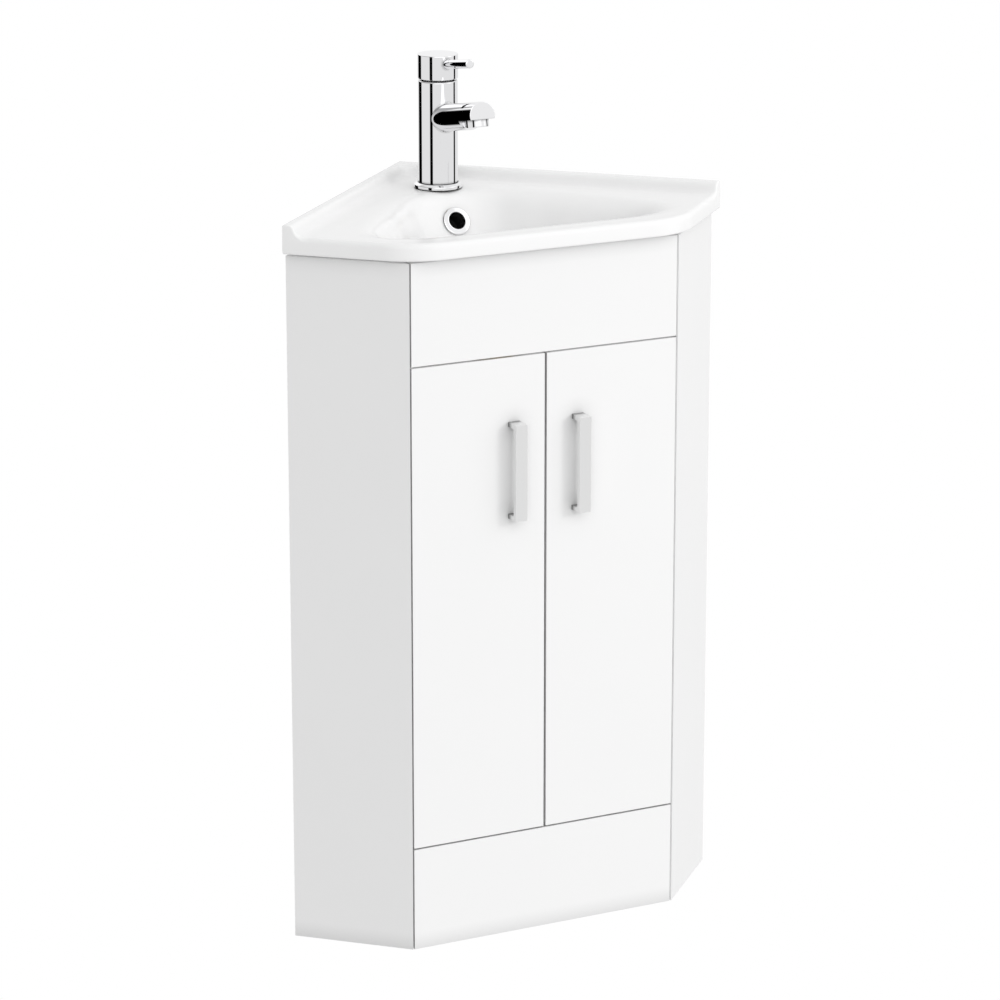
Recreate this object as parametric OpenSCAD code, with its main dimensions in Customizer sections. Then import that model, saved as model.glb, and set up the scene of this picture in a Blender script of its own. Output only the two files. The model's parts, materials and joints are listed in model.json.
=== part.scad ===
// Corner vanity unit: five-sided floor-standing cupboard with two inset doors,
// a ceramic corner basin with wall upstands, a single-lever mixer tap and a push waste.
// Millimetres, +Z up. The front faces -Y and the two walls meet at the rear (+Y) corner.
// The origin is on the floor, in the middle of the overall outline.

/* [Cabinet] */
// Overall width across the two outer ends of the cabinet
cab_w = 555; // [545:1:570]
// Height of the cabinet without the basin
cab_h = 820; // [810:1:840]
// Length of each side panel, square to its wall
side_d = 147.5; // [140:0.5:155]
// Thickness of the carcass boards
board_t = 15; // [15:1:16]
// Thickness of the doors, fascia and plinth
front_t = 18; // [18:1:18]
// Height of the joint between plinth and doors
plinth_h = 124.2; // [120:0.2:130]
// Height of the joint between doors and fascia
fascia_z = 700; // [698:1:702]
// Gap round each front panel
gap = 2; // [2:0.1:2.4]
// Gap between the two doors
mid_gap = 3; // [3:0.5:4]

/* [Handles] */
// Length of each handle
handle_len = 114.5; // [100:0.5:140]
// Width of the handle strap
handle_w = 14.6; // [12:0.2:16]
// How far the handle stands off the door
handle_proj = 20; // [18:1:20]
// Height of the top of the handles
handle_top = 623.2; // [560:1:660]
// Distance of each handle's centre line from the middle of the unit
handle_x = 41.4; // [30:0.2:60]

/* [Basin] */
// Overhang of the basin past each side panel
over_side = 10; // [6:1:12]
// Overhang of the basin past the cabinet front
over_front = 15; // [12:1:18]
// Height of the lip's underside above the cabinet top
lip_gap = 3.2; // [3:0.2:4]
// Thickness of the basin's lip
lip_t = 20.3; // [19:0.1:22]
// Height of the wall upstand above the deck
upstand_h = 13.2; // [10:0.2:18]
// Radius of the two front corners in plan
corner_r = 90; // [60:5:100]
// Depth of the bowl below the deck
bowl_depth = 102.5; // [98:0.5:104]

/* [Tap] */
// Distance of the tap's axis behind the cabinet front
tap_y = 275.4; // [274:0.2:277]
// Radius of the tap's column
tap_r = 23.5; // [23.2:0.1:23.7]
// Radius of the cap
cap_r = 24; // [23.8:0.1:24.2]
// Distance from the tap's axis to the spout's end
spout_len = 116.5; // [112:0.5:122]
// Upward slope of the spout in degrees
spout_rise = 10.7; // [9:0.1:12]

/* [Hidden] */
$fn = 48;
rt2 = sqrt(2);
hx = cab_w / 2 - side_d / rt2;          // half width of the flat front
leg = cab_w / rt2;                      // cabinet length along each wall
yc = side_d / rt2 + cab_w / 2;          // wall corner, measured from the front plane
cy = (yc - handle_proj) / 2;            // front plane to origin
base_top = plinth_h - 3.2;              // top of the floor board
door_lo = plinth_h + gap / 2;
door_hi = fascia_z - gap / 2;
door_x = hx - gap;                      // outer edge of each door
str_z = fascia_z + gap / 2;             // underside of the front stretcher
rail_hi = 100;
rail_lo = 60;
pin_x = hx - 24;                        // hinge pin, from the middle
pin_y = 8.5;                            // hinge pin, behind the front plane
cup_x = pin_x - 2;                      // centre of the hinge cup
hinge_z = [door_lo + 95, door_hi - 95];
lip_z = cab_h + lip_gap;                // underside of the basin lip
deck_z = lip_z + lip_t;                 // top of the basin deck
crest_z = deck_z + upstand_h;
bleg = leg + over_side;                 // basin length along each wall
bowl_z = deck_z - bowl_depth;           // bowl floor
waste_y = 125;                          // waste hole, behind the front plane
boss_z = bowl_z - 35;                   // underside of the waste boss
flow_k = 24 / 43.5;                     // slope of the bowl's back wall
flow_z = deck_z - 32.5;                 // overflow, centre on the bowl wall
flow_y = waste_y + 120 - 32.5 * flow_k;
flow_tilt = atan(flow_k);
body_top = deck_z + 129.4;              // top of the tap column
cap_lo = body_top + 2.2;
cap_hi = deck_z + 160.5;
lift_y = 16;                            // lever pivot, behind the tap's axis
lift_z = cap_lo + 7.7;

// ---- helpers -------------------------------------------------------------

module unit() translate([0, -cy, 0]) children();          // front plane frame to row frame
module mir() mirror([1, 0, 0]) children();                // left hand piece to right hand piece
// frame of the left wall: +x from the corner along the wall, +y out into the room
module wall() translate([0, yc, 0]) rotate([0, 0, 225]) children();
// frame of a hinge: origin at the pin, mid height
module at_pin(z) translate([-pin_x, pin_y, z]) children();
// frame on the left side panel's inner face: +x back along the face, +y into the cupboard
module on_face() translate([-hx, board_t * rt2, 0]) rotate([0, 0, 135]) mirror([0, 1, 0]) children();
module tap() translate([0, tap_y, 0]) children();
module bowl_axis() translate([0, waste_y, 0]) children();
// frame on the bowl wall at the overflow: +z out of the wall into the bowl
module flow() translate([0, flow_y, flow_z]) rotate([90 - flow_tilt, 0, 0]) children();

module cyl(r, a, b) translate([0, 0, a]) cylinder(r = r, h = b - a);
module cyl_y(r, a, b) translate([0, b, 0]) rotate([90, 0, 0]) cylinder(r = r, h = b - a);
module cyl_x(r, a, b) translate([a, 0, 0]) rotate([0, 90, 0]) cylinder(r = r, h = b - a);
module box(x0, x1, y0, y1, z0, z1) translate([x0, y0, z0]) cube([x1 - x0, y1 - y0, z1 - z0]);
module ring(ro, ri, a, b) difference() { cyl(ro, a, b); cyl(ri, a - 1, b + 1); }
// flat strap in plan from p to q
module seg(p, q, t) translate(p) rotate(atan2(q[1] - p[1], q[0] - p[0]))
  translate([0, -t / 2]) square([norm(q - p), t]);

// a point given as distance along the left wall and distance from it
function wp(p, q) = [(-p + q) / rt2, yc - (p + q) / rt2];
// half outline of the cabinet shrunk by d, left side, from the corner to the front
function pent(d) = [[0, yc - d * rt2], wp(leg - d, d), wp(leg - d, (yc - d) * rt2 - (leg - d))];
function mirx(v) = [for (i = [len(v) - 1:-1:0]) [-v[i][0], v[i][1]]];
function outline(v) = concat(v, mirx([for (i = [1:len(v) - 1]) v[i]]));

// ---- carcass -------------------------------------------------------------

// dowels of one side, in the wall frame: across the joint at the side panel's inner face
module dowels(r = 4) {
  for (y = [30, 75, 115]) translate([leg - board_t, y, base_top - 7.5]) cyl_x(r, -20, 10);
  for (z = [cab_h - 25, cab_h - 75]) translate([leg - board_t, 7.5, z]) cyl_x(r, -20, 10);
  translate([leg - board_t, 7.5, base_top + 30]) cyl_x(r, -20, 10);
  translate([leg - board_t, side_d - 40, str_z + 7.5]) cyl_x(r, -20, 10);
}
module plate_screw_holes() for (z = hinge_z) translate([0, 0, z]) on_face()
  for (s = [-1, 1]) translate([45, 0, 20 * s]) cyl_y(2, -10, 0.5);
module bracket_at() translate([leg - board_t, 0, 650]) children();

module side_panel() color("white") difference() {
  wall() linear_extrude(cab_h)
    polygon([[leg, 0], [leg, side_d], [leg - board_t, side_d - board_t], [leg - board_t, 0]]);
  wall() dowels();
  plate_screw_holes();
  wall() bracket_at() translate([0, 26, 0]) cyl_x(2, -0.5, 10);
}
module side_panel_left() unit() side_panel();
module side_panel_right() unit() mir() side_panel();

module base_panel() color("white") unit() difference() {
  translate([0, 0, base_top - 15]) linear_extrude(15) polygon(outline([
    [0, yc], wp(leg - board_t, 0), [-hx, board_t * rt2], [-hx, front_t]]));
  box(-45, 45, 235, 305, 0, 200);
  wall() dowels();
  mir() wall() dowels();
}

module plinth_panel() color("white") unit() difference() {
  box(-door_x, door_x, 0, front_t, 0, plinth_h - gap / 2);
  for (x = [-130, 130]) translate([x, 0, base_top - 27]) cyl_y(2, 8, 20);
}
module fascia_panel() color("white") unit() difference() {
  box(-door_x, door_x, 0, front_t, str_z, cab_h);
  for (x = [-130, 130]) translate([x, 0, str_z + 27]) cyl_y(2, 8, 20);
}
module front_stretcher() color("white") unit() difference() {
  translate([0, 0, str_z]) linear_extrude(15) polygon(outline([
    [0, 78], [-hx - 78 + board_t * rt2, 78], [-hx, board_t * rt2], [-hx, front_t]]));
  wall() dowels();
  mir() wall() dowels();
  for (x = [-19, 19]) translate([x, front_t + 9, 0]) cyl(1.5, str_z - 1, str_z + 10);
}
module rail(z, h, x0) difference() {
  wall() box(x0, leg - board_t, 0, 15, z, z + h);
  wall() dowels();
}
module upper_rail_left() color("white") unit() rail(cab_h - rail_hi, rail_hi, 0);
module upper_rail_right() color("white") unit() mir() rail(cab_h - rail_hi, rail_hi, 15);
module lower_rail_left() color("white") unit() rail(base_top, rail_lo, 0);
module lower_rail_right() color("white") unit() mir() rail(base_top, rail_lo, 15);

module corner_blocks() color("burlywood") unit() for (x = [-130, 130]) {
  difference() {
    box(x - 15, x + 15, front_t, front_t + 25, base_top - 40, base_top - 15);
    translate([x, 0, base_top - 27]) cyl_y(2, 0, 60);
  }
  difference() {
    box(x - 15, x + 15, front_t, front_t + 25, str_z + 15, str_z + 40);
    translate([x, 0, str_z + 27]) cyl_y(2, 0, 60);
  }
}
// post in the wall corner, under the floor board
module rear_post() color("burlywood") unit() wall() box(2, 42, 2, 42, 0, base_top - 15);
module carcass_screws() color("silver") unit() {
  catch_screws();
  for (x = [-130, 130], z = [base_top - 27, str_z + 27]) translate([x, 0, z]) difference() {
    union() { cyl_y(2, 8, front_t + 25); cyl_y(4, front_t + 25, front_t + 27.4); }
    box(-2.4, 2.4, front_t + 26, front_t + 28, -0.5, 0.5);
    box(-0.5, 0.5, front_t + 26, front_t + 28, -2.4, 2.4);
  }
}
module catch_screws() for (x = [-19, 19]) translate([x, front_t + 9, 0]) {
  cyl(1.5, str_z - 14, str_z + 10);
  cyl(2.8, str_z - 15.4, str_z - 14);
}
module carcass_dowels() color("tan") unit() { wall() dowels(); mir() wall() dowels(); }

module wall_bracket() color("silver") wall() bracket_at() difference() {
  union() { box(-2, 0, 0, 40, -12, 12); box(-40, 0, 0, 2, -12, 12); }
  translate([0, 26, 0]) cyl_x(2.2, -3, 1);
  translate([-26, 0, 0]) cyl_y(2.75, -1, 3);
}
module wall_bracket_left() unit() wall_bracket();
module wall_bracket_right() unit() mir() wall_bracket();
module bracket_screw() wall() bracket_at() translate([0, 26, 0]) difference() {
  union() { cyl_x(2, -2, 10); cyl_x(4, -4.2, -2); }
  box(-5, -3, -2.4, 2.4, -0.5, 0.5);
  box(-5, -3, -0.5, 0.5, -2.4, 2.4);
}
module bracket_screws() color("silver") unit() { bracket_screw(); mir() bracket_screw(); }

module magnetic_catch() color("gray") unit() difference() {
  box(-22, 22, front_t + 1.6, front_t + 16, str_z - 14, str_z);
  for (x = [-10, 10]) box(x - 5, x + 5, front_t + 1, front_t + 2.4, str_z - 12, str_z - 4);
  for (x = [-19, 19]) translate([x, front_t + 9, 0]) cyl(1.5, str_z - 15, str_z + 1);
}

// ---- hinges (left hand; the right hand ones are mirrored) ------------------

arm_p = [[0, 0], [20.8, 16.3], [14, 27], [-6, 33]];
arm_e = [-24 - 20 / rt2 + 9.2 / rt2, (board_t * rt2 - pin_y) + 20 / rt2 + 9.2 / rt2];
arm_f = [-24 - 62 / rt2 + 9.2 / rt2, (board_t * rt2 - pin_y) + 62 / rt2 + 9.2 / rt2];
arm_path = concat(arm_p, [arm_e, arm_f]);

module hinge_arm() difference() {
  union() {
    cyl(2.6, -8, 8);
    translate([0, 0, -7]) linear_extrude(14) {
      for (i = [0:len(arm_path) - 2]) seg(arm_path[i], arm_path[i + 1], 2.4);
      for (i = [1:len(arm_path) - 2]) translate(arm_path[i]) circle(r = 1.3);
    }
  }
  cyl(1.3, -9, 9);
}
module hinge_arms() color("silver") for (z = hinge_z) difference() {
  at_pin(z) hinge_arm();
  translate([0, 0, z]) on_face() translate([45, 0, 0]) cyl_y(2.5, 5, 15);
}
module hinge_arms_left() unit() hinge_arms();
module hinge_arms_right() unit() mir() hinge_arms();

module hinge_plate() difference() {
  union() {
    box(26, 62, 0, 8, -7, 7);
    box(37, 53, 0, 2, -27, 27);
  }
  translate([45, 0, 0]) cyl_y(2.5, 1, 15);
  for (s = [-1, 1]) translate([45, 0, 20 * s]) cyl_y(2.2, -1, 3);
}
module hinge_plates() color("silver") for (z = hinge_z) translate([0, 0, z]) on_face() hinge_plate();
module hinge_plates_left() unit() hinge_plates();
module hinge_plates_right() unit() mir() hinge_plates();

module pan_head(y, r, h) difference() {
  cyl_y(r, y, y + h);
  box(-r * 0.65, r * 0.65, y + h * 0.4, y + h + 1, -0.4, 0.4);
  box(-0.4, 0.4, y + h * 0.4, y + h + 1, -r * 0.65, r * 0.65);
}
module plate_screws() for (z = hinge_z) translate([0, 0, z]) on_face() {
  for (s = [-1, 1]) translate([45, 0, 20 * s]) { cyl_y(2, -10, 2); pan_head(2, 3.8, 2); }
  translate([45, 0, 0]) { cyl_y(2.5, 1, 10.4); pan_head(10.4, 4.5, 2.6); }
}
module hinge_plate_screws() color("silver") unit() { plate_screws(); mir() plate_screws(); }

module at_cups() for (z = hinge_z) translate([-cup_x, 0, z]) children();
module hinge_cups() color("silver") for (z = hinge_z) difference() {
  union() {
    translate([-cup_x, 0, z]) {
      cyl_y(17.5, 4.8, front_t);
      cyl_y(19, front_t, front_t + 1.2);
      box(-9, 9, front_t, front_t + 1.2, -31, 31);
    }
  }
  translate([-cup_x, 0, z]) {
    cyl_y(16.7, 5.5, front_t + 2);
    for (s = [-1, 1]) translate([0, 0, 26 * s]) cyl_y(1.9, front_t - 1, front_t + 2);
  }
  at_pin(z) cyl(1.25, -17.2, 17.2);
}
module hinge_cups_left() unit() hinge_cups();
module hinge_cups_right() unit() mir() hinge_cups();
module hinge_pins() color("gray") for (z = hinge_z) at_pin(z) cyl(1.25, -17.2, 17.2);
module hinge_pins_left() unit() hinge_pins();
module hinge_pins_right() unit() mir() hinge_pins();
module door_screws() color("silver") {
  at_cups() for (s = [-1, 1]) translate([0, 0, 26 * s]) {
    cyl_y(1.75, front_t - 12, front_t + 1.2);
    pan_head(front_t + 1.2, 3.4, 1.6);
  }
  translate([-14, 0, door_hi - 10]) cyl_y(1.6, 7, front_t + 1.2);
}
module door_screws_left() unit() door_screws();
module door_screws_right() unit() mir() door_screws();

// ---- doors ---------------------------------------------------------------

foot_z = [handle_top - 2.75, handle_top - handle_len + 2.75];
module door() color("white") difference() {
  box(-door_x, -mid_gap / 2, 0, front_t, door_lo, door_hi);
  at_cups() {
    cyl_y(17.5, 4.8, front_t + 1);
    for (s = [-1, 1]) translate([0, 0, 26 * s]) cyl_y(1.75, front_t - 12, front_t + 1);
  }
  for (z = foot_z) translate([-handle_x, 0, z]) cyl_y(1.7, -1, front_t + 1);
  translate([-14, 0, door_hi - 10]) cyl_y(1.6, 7, front_t + 1);
}
module door_left() unit() door();
module door_right() unit() mir() door();

module handle() color("lightgray") difference() {
  translate([-handle_x - handle_w / 2, 0, 0]) rotate([90, 0, 90]) linear_extrude(handle_w) difference() {
    polygon([[0, foot_z[1] - 2.75], [-handle_proj + 0.8, foot_z[1] - 2.75], [-handle_proj, foot_z[1] - 1.95],
      [-handle_proj, foot_z[0] + 1.95], [-handle_proj + 0.8, foot_z[0] + 2.75], [0, foot_z[0] + 2.75]]);
    translate([-handle_proj + 6, foot_z[1] + 2.75 + 3]) square([handle_proj, handle_len - 11 - 6]);
    translate([-handle_proj + 6 + 3, foot_z[1] + 2.75]) square([handle_proj, handle_len - 11]);
    for (z = [foot_z[1] + 2.75 + 3, foot_z[0] - 2.75 - 3]) translate([-handle_proj + 9, z]) circle(r = 3);
  }
  for (z = foot_z) translate([-handle_x, 0, z]) cyl_y(1.5, -10, 1);
}
module handle_left() unit() handle();
module handle_right() unit() mir() handle();
module handle_screws() color("silver") for (z = foot_z) translate([-handle_x, 0, z]) {
  cyl_y(1.5, -10, front_t);
  pan_head(front_t, 4, 2.2);
}
module handle_screws_left() unit() handle_screws();
module handle_screws_right() unit() mir() handle_screws();

module strike_plate() color("silver") difference() {
  box(-24, -4, front_t, front_t + 1.2, door_hi - 18, door_hi - 2);
  translate([-14, 0, door_hi - 10]) cyl_y(1.6, front_t - 1, front_t + 2);
}
module strike_plate_left() unit() strike_plate();
module strike_plate_right() unit() mir() strike_plate();

// ---- basin ---------------------------------------------------------------

bx = hx + over_side * rt2 - over_front;                 // sharp front corner of the lip
bt = corner_r * tan(22.5);
basin_half = concat([[0, yc], wp(bleg, 0)],
  [for (a = [-135:4.5:-90]) [-bx + bt + corner_r * cos(a), -over_front + corner_r + corner_r * sin(a)]]);
// bowl outline at deck level, right half, measured from the waste
bowl_half = [[0, -112], [104, -112], [140, -108], [163, -98], [184, -78], [193, -62], [192, -44],
  [180, -26], [160, 2], [130, 41], [105, 71], [70, 101], [42, 115], [20, 120], [0, 120]];
module bowl_slice(z, sx, sy, h = 0.2) translate([0, 0, z]) linear_extrude(h)
  polygon(concat([for (p = bowl_half) [p[0] * sx, p[1] * sy]],
    [for (i = [len(bowl_half) - 2:-1:1]) [-bowl_half[i][0] * sx, bowl_half[i][1] * sy]]));
// wall upstand in section: distance from the wall, height
s_curve = [[0, lip_z + 2], [0, crest_z - 1], [1, crest_z], [8, crest_z], [11, crest_z - 1], [13.5, crest_z - 3.8],
  [15.5, crest_z - 8], [17.5, crest_z - 11.4], [20, crest_z - 12.8], [24, crest_z - 13.2], [24, lip_z + 2]];
module upstand() wall() rotate([90, 0, 90]) linear_extrude(bleg) polygon(s_curve);

module basin() color("white") unit() difference() {
  union() {
    translate([0, 0, lip_z]) linear_extrude(lip_t) polygon(outline(basin_half));
    upstand();
    mir() upstand();
    // foot that stands on the cabinet's top edges
    translate([0, 0, cab_h]) linear_extrude(lip_gap + 1) difference() {
      polygon(outline(pent(4)));
      polygon(outline(pent(17)));
    }
    bowl_axis() hull() {
      bowl_slice(lip_z + 1, 0.975, 0.95);
      bowl_slice(deck_z - 43.5, 0.925, 0.905);
      bowl_slice(bowl_z - 9, 0.56, 0.59);
    }
    bowl_axis() cyl(36, boss_z, bowl_z - 2);
    // overflow duct moulded on the back of the bowl
    hull() {
      box(-24, 24, 226, 250, lip_z, lip_z + 0.5);
      box(-24, 24, 145, 186, boss_z, boss_z + 0.5);
    }
  }
  bowl_axis() hull() {
    bowl_slice(deck_z, 1, 1);
    bowl_slice(deck_z - 43.5, 0.86, 0.8);
    bowl_slice(bowl_z, 0.5, 0.52);
  }
  bowl_axis() bowl_slice(deck_z, 1, 1, 30);
  hull() {
    box(-15, 15, 237.5, 244.5, deck_z - 24, deck_z - 23.5);
    box(-12, 12, 166, 176, boss_z + 10, boss_z + 10.5);
  }
  box(-12, 12, waste_y, 176, boss_z + 10, boss_z + 20);
  bowl_axis() cyl(23, boss_z - 1, bowl_z + 5);
  flow() cyl(11.6, -13, 20);
  tap() cyl(17.5, lip_z - 1, deck_z + 30);
}
module overflow_ring() color("silver") unit() flow() difference() {
  rotate_extrude() polygon([[10.4, -9], [11.6, -9], [11.6, 0], [16.2, 0], [16.8, 0.6], [16.6, 1.7],
    [14.6, 2.6], [11.6, 2.6], [10.4, 1.9]]);
}

// ---- waste ---------------------------------------------------------------

module waste_flange() color("silver") unit() bowl_axis() translate([0, 0, bowl_z + 1]) rotate_extrude()
  polygon([[20.95, -3], [22.5, -3], [22.5, 0], [31.5, 0], [32, 0.7], [31.5, 1.4], [28, 3], [24, 3], [20.95, 1.2]]);
module waste_body() color("goldenrod") unit() bowl_axis() difference() {
  union() {
    ring(20.95, 18, bowl_z - 100, bowl_z + 2);
    cyl(8, boss_z - 6, boss_z + 2);
    for (a = [0:120:240]) rotate([0, 0, a + 30]) box(6, 18.5, -1.5, 1.5, boss_z - 6, boss_z + 2);
  }
  cyl(4.05, boss_z - 10, boss_z + 10);
  // run-out groove above the tail that takes the trap
  ring(24, 20.3, boss_z - 23, boss_z - 20);
  for (a = [90, -90]) rotate([0, 0, a]) box(15, 25, -10, 10, boss_z + 11, boss_z + 19);
}
module waste_seals() color("dimgray") unit() bowl_axis() {
  ring(31, 23, bowl_z, bowl_z + 1);
  ring(33, 20.95, boss_z - 5, boss_z);
}
module waste_backnut() color("goldenrod") unit() bowl_axis() difference() {
  linear_extrude(12) circle(r = 30, $fn = 6);
  cyl(20.95, -1, 13);
}
module backnut_at() translate([0, 0, boss_z - 17]) children();
module waste_plug() color("silver") unit() bowl_axis() {
  translate([0, 0, bowl_z + 4.3]) rotate_extrude()
    polygon([[0, 0], [26, 0], [27, 0.9], [26.2, 2], [20, 3.2], [10, 4], [0, 4.2]]);
  cyl(4, boss_z - 22, bowl_z + 5);
}

// ---- tap -----------------------------------------------------------------

module tap_flange() color("silver") unit() tap() translate([0, 0, deck_z]) rotate_extrude()
  polygon([[20, 0], [28.6, 0], [29.1, 0.5], [29.1, 4.4], [26.6, 7], [20, 7]]);
spout_r = 16.1;
spout_flat = 4.5;                                          // flat under the spout's end, below its axis
spout_z0 = deck_z + 104.9 - spout_len * tan(spout_rise);   // spout's axis where it meets the tap's
outlet_z = spout_len / cos(spout_rise) - 15.4;             // outlet, along the spout
// frame on the spout: +z out along it, +y up
module along_spout() translate([0, 0, spout_z0]) rotate([90 - spout_rise, 0, 0]) children();
// frame on the spout's flat: +z down out of the outlet
module outlet() along_spout() translate([0, -spout_flat, outlet_z]) rotate([90, 0, 0]) children();
module tap_body() color("silver") unit() tap() difference() {
  union() {
    cyl(20, deck_z, deck_z + 8);
    cyl(tap_r, deck_z + 7, body_top - 1.2);
    translate([0, 0, body_top - 1.2]) cylinder(r1 = tap_r, r2 = tap_r - 1.2, h = 1.2);
    along_spout() difference() {
      cyl(spout_r, 0, outlet_z + 15.4);
      box(-30, 30, -40, -spout_flat, outlet_z - 17, outlet_z + 20);
    }
  }
  cyl(18, body_top - 30, body_top + 1);
  // waterway to the outlet
  along_spout() cyl(5.5, 12, outlet_z);
  translate([0, -13, 0]) cyl(3, deck_z + 84, body_top - 29);
  outlet() cyl(10, -8, 1);
  // seats of the stud and the two inlets
  translate([0, 9, 0]) cyl(3, deck_z - 1, deck_z + 12);
  for (x = [-7.5, 7.5]) translate([x, -3, 0]) {
    cyl(6.5, deck_z - 1, deck_z + 9);
    cyl(3, deck_z + 8, body_top - 29);
  }
}
module aerator() color("silver") unit() tap() outlet() difference() {
  union() {
    cyl(13.6, 0, 8.8);
    cyl(10, -7, 1);
  }
  cyl(10.8, 6, 9);
  for (a = [0:60:300]) rotate([0, 0, a]) translate([5, 0, 0]) cyl(1.6, -8, 7);
  cyl(1.6, -8, 7);
}
module cartridge() color("white") unit() tap() difference() {
  union() {
    cyl(17.5, body_top - 30, body_top - 8);
    cyl(12, body_top - 8.5, body_top - 5);
  }
  cyl(9.1, body_top - 14, body_top);
}
module cartridge_nut() color("goldenrod") unit() tap() ring(18, 12.5, body_top - 8, body_top - 0.4);
module cartridge_spindle() color("gray") unit() tap() difference() {
  union() {
    cyl(9, body_top - 13.8, body_top + 1.5);
    cyl(15, body_top + 1.2, body_top + 5);
    for (s = [-1, 1]) box(s * 6 - 1, s * 6 + 1, lift_y - 5.5, lift_y + 1.9, body_top + 4, lift_z + 3);
  }
  translate([0, lift_y, lift_z]) cyl_x(1.2, -12, 12);
}
module spindle_pin() color("silver") unit() tap() translate([0, lift_y, lift_z]) cyl_x(1.2, -7, 7);
lever_y = [-17, -84];
lever_z0 = deck_z + 150.5;                                 // lever axis where it leaves the cap
lever_rise = 9;
module along_lever() translate([0, -cap_r, lever_z0 + 0.4]) rotate([90 - lever_rise, 0, 0]) children();
module tap_cap() color("silver") unit() tap() difference() {
  union() {
    rotate_extrude() polygon([[0, cap_hi - 4], [21.2, cap_hi - 4], [21.2, cap_lo], [cap_r - 0.5, cap_lo], [cap_r, cap_lo + 0.5],
      [cap_r, cap_hi - 0.7], [cap_r - 0.7, cap_hi], [0, cap_hi]]);
    intersection() {
      cyl(21.8, cap_lo, cap_hi - 2);
      union() {
        box(-4.8, 4.8, lift_y - 3.5, lift_y + 3.5, lift_z, cap_hi - 3);
        translate([0, lift_y, lift_z]) cyl_x(3.5, -4.8, 4.8);
      }
    }
  }
  translate([0, lift_y, lift_z]) cyl_x(1.25, -12, 12);
  along_lever() cyl(5.3, -3, 20);
  translate([0, 0, lift_z + 12]) cyl_y(2, lift_y + 3.5, 30);
}
module tap_lever() color("silver") unit() tap() along_lever() rotate_extrude()
  polygon([[0, -3], [5.3, -3], [5.3, 60], [4.9, 60.9], [4, 61.3], [0, 61.4]]);
module cap_grub_screw() color("gray") unit() tap() translate([0, 0, lift_z + 12]) difference() {
  cyl_y(2, lift_y + 3.5, cap_r - 0.5);
  cyl_y(1.1, cap_r - 3, cap_r + 1);
}
module tap_stud() color("silver") unit() tap() translate([0, 9, 0]) cyl(3, deck_z - 58, deck_z + 12);
module tap_plan(r) difference() {
  circle(r = r);
  for (x = [-7.5, 7.5]) translate([x, -3]) circle(r = 7);
  translate([-7.5, -10]) square([15, 14]);
  translate([0, 9]) circle(r = 3.2);
}
module tap_washer() color("dimgray") unit() tap() translate([0, 0, lip_z - 3]) linear_extrude(3) tap_plan(22);
module horseshoe_plate() color("silver") unit() tap() translate([0, 0, lip_z - 5.5]) linear_extrude(2.5) tap_plan(21);
module tap_fixing_nut() color("goldenrod") unit() tap() translate([0, 9, lip_z - 13]) difference() {
  linear_extrude(7.5) circle(r = 5.8, $fn = 6);
  cyl(3, -1, 9);
}
// plain 10 mm tail under a collar that seats in the tap
module inlet() color("goldenrod") difference() {
  union() {
    cyl(6.5, deck_z - 30, deck_z + 9);
    cyl(5, deck_z - 60, deck_z - 29);
  }
  cyl(3.6, deck_z - 61, deck_z + 10);
}
module hot_inlet() unit() tap() translate([-7.5, -3, 0]) inlet();
module cold_inlet() unit() tap() translate([7.5, -3, 0]) inlet();

// ---- nodes ---------------------------------------------------------------

side_panel_left();
side_panel_right();
base_panel();
plinth_panel();
fascia_panel();
front_stretcher();
upper_rail_left();
upper_rail_right();
lower_rail_left();
lower_rail_right();
corner_blocks();
rear_post();
carcass_screws();
carcass_dowels();
wall_bracket_left();
wall_bracket_right();
bracket_screws();
magnetic_catch();
hinge_arms_left();
hinge_arms_right();
hinge_plates_left();
hinge_plates_right();
hinge_plate_screws();
door_left();
handle_left();
handle_screws_left();
hinge_cups_left();
hinge_pins_left();
door_screws_left();
strike_plate_left();
door_right();
handle_right();
handle_screws_right();
hinge_cups_right();
hinge_pins_right();
door_screws_right();
strike_plate_right();
basin();
overflow_ring();
waste_flange();
waste_body();
backnut_at() waste_backnut();
waste_seals();
waste_plug();
tap_flange();
tap_body();
aerator();
cartridge();
cartridge_nut();
cartridge_spindle();
spindle_pin();
tap_cap();
tap_lever();
cap_grub_screw();
tap_stud();
tap_washer();
horseshoe_plate();
tap_fixing_nut();
hot_inlet();
cold_inlet();
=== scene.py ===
# Looks for the corner vanity unit: built in metres in the CAD frame (+Z up, doors face -Y).
import json, math
import bpy
import bmesh
import numpy as np
from mathutils import Vector, Matrix


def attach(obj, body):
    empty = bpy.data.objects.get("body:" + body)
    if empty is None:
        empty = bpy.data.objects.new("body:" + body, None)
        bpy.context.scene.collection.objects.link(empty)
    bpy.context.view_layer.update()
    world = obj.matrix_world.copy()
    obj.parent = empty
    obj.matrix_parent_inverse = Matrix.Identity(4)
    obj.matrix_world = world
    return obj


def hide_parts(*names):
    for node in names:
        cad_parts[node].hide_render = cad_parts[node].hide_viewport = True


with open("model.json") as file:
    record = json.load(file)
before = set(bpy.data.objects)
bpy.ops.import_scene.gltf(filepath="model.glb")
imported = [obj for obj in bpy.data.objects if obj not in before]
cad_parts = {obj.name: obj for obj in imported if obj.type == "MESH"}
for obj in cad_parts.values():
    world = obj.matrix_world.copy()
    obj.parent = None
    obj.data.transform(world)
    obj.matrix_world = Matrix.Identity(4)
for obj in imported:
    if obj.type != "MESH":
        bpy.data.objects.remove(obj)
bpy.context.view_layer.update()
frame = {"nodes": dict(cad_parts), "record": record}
NODES = frame["nodes"]

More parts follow.
